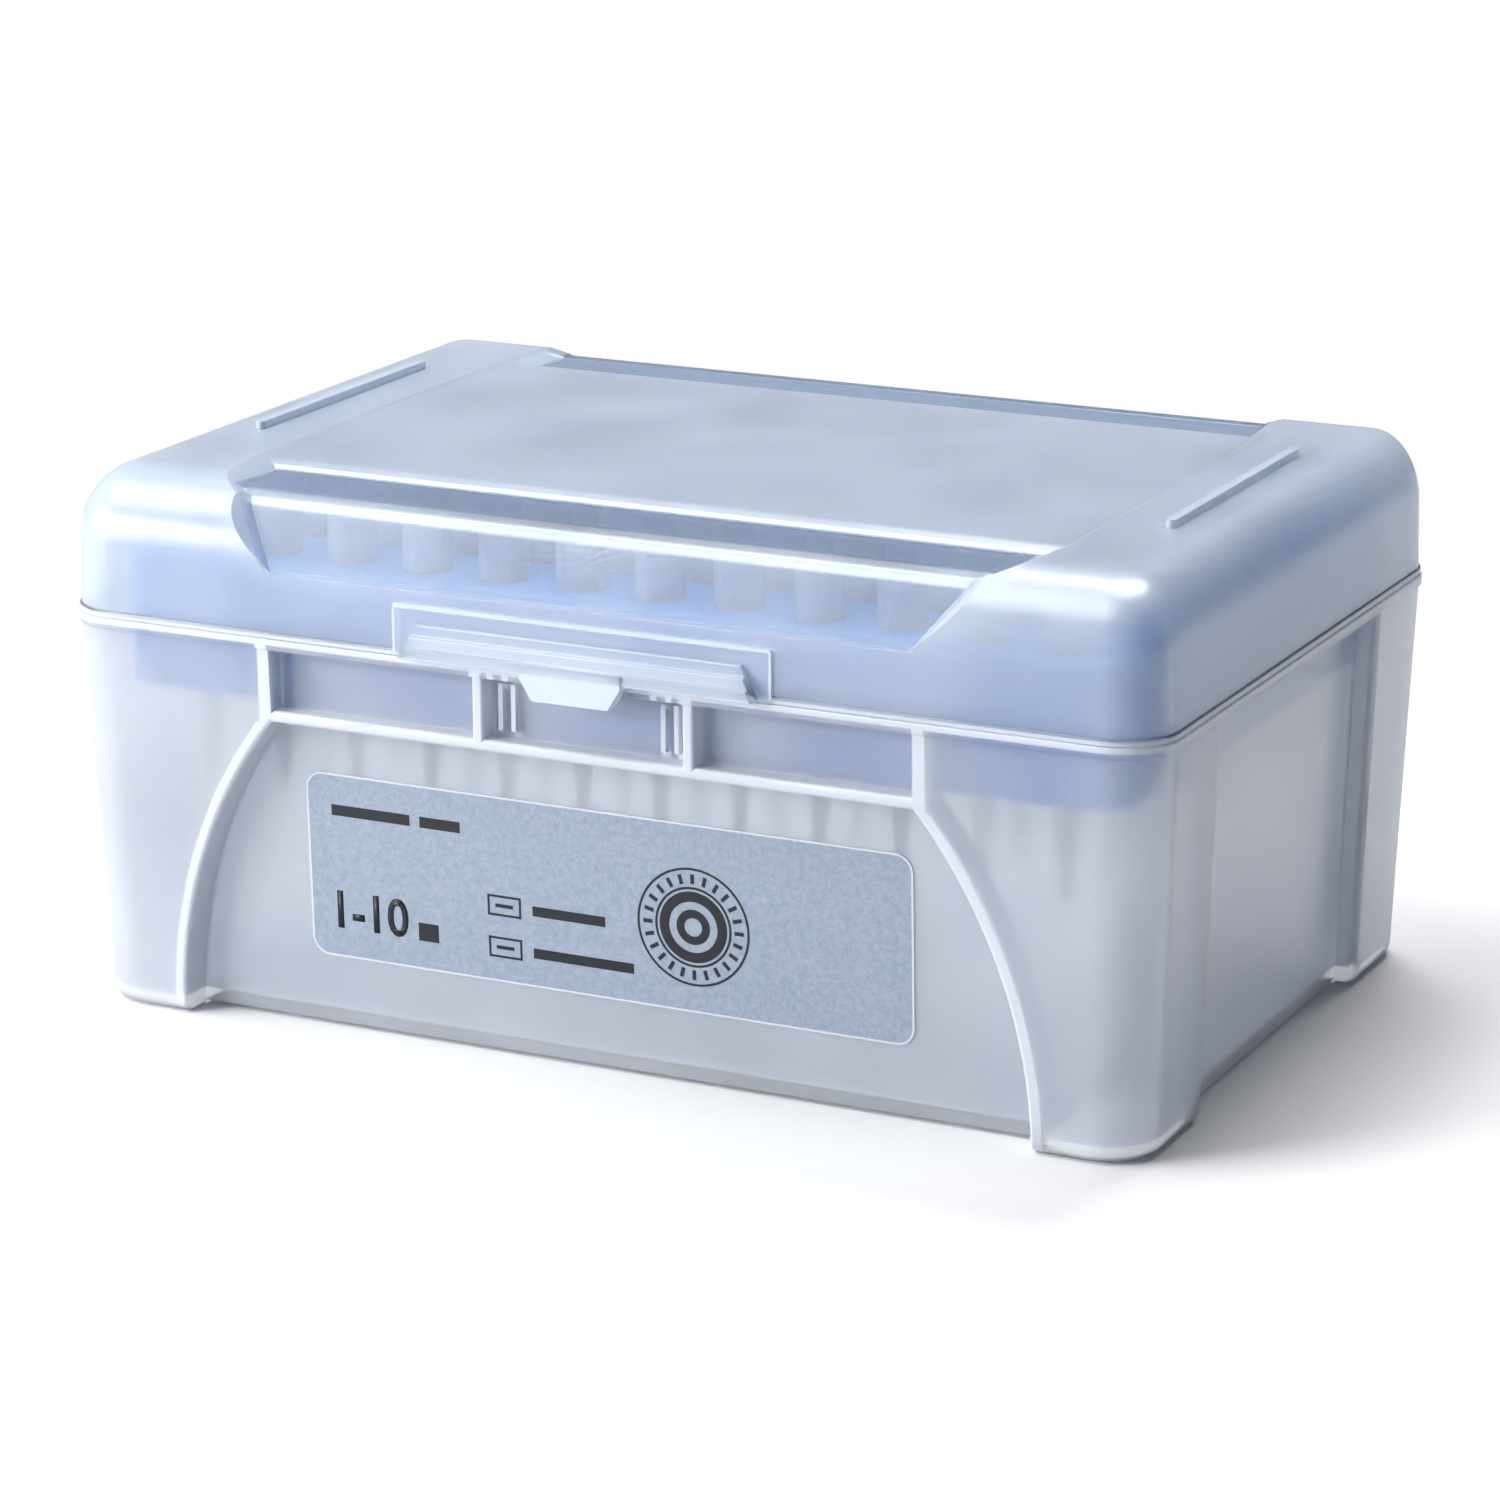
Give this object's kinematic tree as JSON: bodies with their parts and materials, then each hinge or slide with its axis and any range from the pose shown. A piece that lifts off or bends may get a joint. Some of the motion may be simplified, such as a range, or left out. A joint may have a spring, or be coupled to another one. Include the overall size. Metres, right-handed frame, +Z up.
{
  "type": "box of pipette tips",
  "caption": "Hinged plastic rack box holding a full grid of pipette tips on a tray, with a snap latch in front and a blank-style film label.",
  "frame": {"origin": "on the table under the middle of the whole box, hinge and latch included", "axes": "+Z up out of the lid, +X along the front to the right, the latch and label face -Y, the hinge is at +Y"},
  "size_m": [0.1252, 0.0902, 0.0597],
  "materials": {
    "frosted_polypropylene_base": "translucent, fine frosted moulding",
    "frosted_polypropylene_lid": "translucent, frosted, with clear polished window strips",
    "blue_polypropylene": "satin moulded",
    "label_film": "translucent printed film",
    "tip_polypropylene": "clear to milky moulding"
  },
  "bodies": {
    "base_body": {"base": "frosted_polypropylene_base", "tip_tray": "blue_polypropylene", "label": "label_film", "tips_column_01": "tip_polypropylene", "tips_column_02": "tip_polypropylene", "tips_column_03": "tip_polypropylene", "tips_column_04": "tip_polypropylene", "tips_column_05": "tip_polypropylene", "tips_column_06": "tip_polypropylene", "tips_column_07": "tip_polypropylene", "tips_column_08": "tip_polypropylene", "tips_column_09": "tip_polypropylene", "tips_column_10": "tip_polypropylene", "tips_column_11": "tip_polypropylene", "tips_column_12": "tip_polypropylene"},
    "lid_body": {"lid": "frosted_polypropylene_lid"}
  },
  "joints": [
    {"name": "lid_hinge", "type": "hinge", "parent": "base_body", "child": "lid_body", "pos_m": [0, 0.04262, 0.0434], "axis": [-1, 0, 0], "range_deg": [0, 110]}
  ]
}
